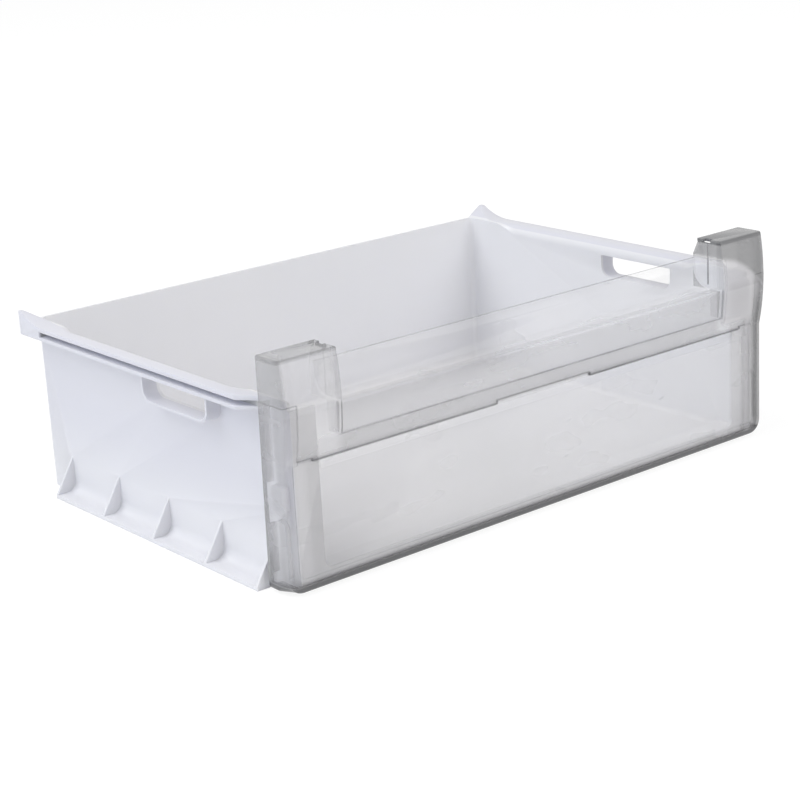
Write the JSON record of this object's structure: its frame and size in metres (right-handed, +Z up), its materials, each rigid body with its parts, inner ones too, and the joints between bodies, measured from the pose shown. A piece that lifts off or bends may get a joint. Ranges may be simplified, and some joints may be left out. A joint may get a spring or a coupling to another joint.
{
  "type": "crisper drawer",
  "caption": "White storage tub with grooved side rims, hand slots and gusseted base ledges, closed by a clear clip-on front that carries a clear grip rail with a finger recess.",
  "frame": {"origin": "under the middle of the tub, on its flat underside", "axes": "+X to the right seen from the front, -Y out of the clear front, +Z up"},
  "size_m": [0.462, 0.324, 0.1601],
  "materials": {
    "white_plastic": "moulded, satin gloss",
    "clear_plastic": "clear, faintly smoky, polished"
  },
  "bodies": {
    "bin": {"bin": "white_plastic"},
    "front": {"front_panel": "clear_plastic"},
    "rail": {"grip_rail": "clear_plastic"}
  },
  "joints": [
    {"name": "front_off", "type": "slide", "parent": "bin", "child": "front", "axis": [0, -1, 0], "range_m": [0, 0.03]},
    {"name": "rail_up", "type": "slide", "parent": "front", "child": "rail", "axis": [0, 0, 1], "range_m": [0, 0.042]}
  ]
}
